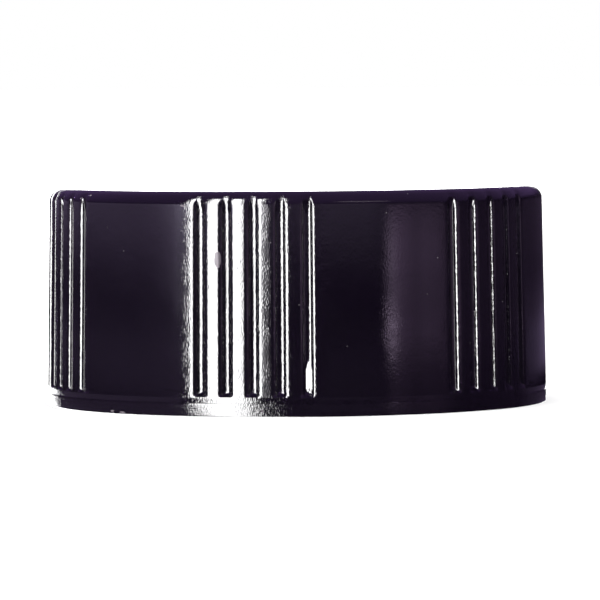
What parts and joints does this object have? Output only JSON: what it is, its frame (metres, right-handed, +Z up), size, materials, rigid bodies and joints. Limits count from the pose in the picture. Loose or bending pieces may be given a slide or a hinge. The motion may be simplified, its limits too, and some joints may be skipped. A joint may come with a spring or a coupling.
{
  "type": "screw cap",
  "caption": "Moulded screw cap for a bottle neck, with groups of upright grip flutes round its side, a thread inside and a sealing liner under the top.",
  "frame": {"origin": "middle of the open rim, on the plane that the cap stands on", "axes": "+Z up the cap's axis from the open rim to the closed top; one group of grip flutes faces -Y"},
  "size_m": [0.0252, 0.0252, 0.0109],
  "materials": {
    "shell_plastic": "high gloss moulded, near black",
    "liner_foam": "matte pressed foam sheet"
  },
  "bodies": {
    "root": {"cap_shell": "shell_plastic", "sealing_liner": "liner_foam"}
  },
  "joints": []
}
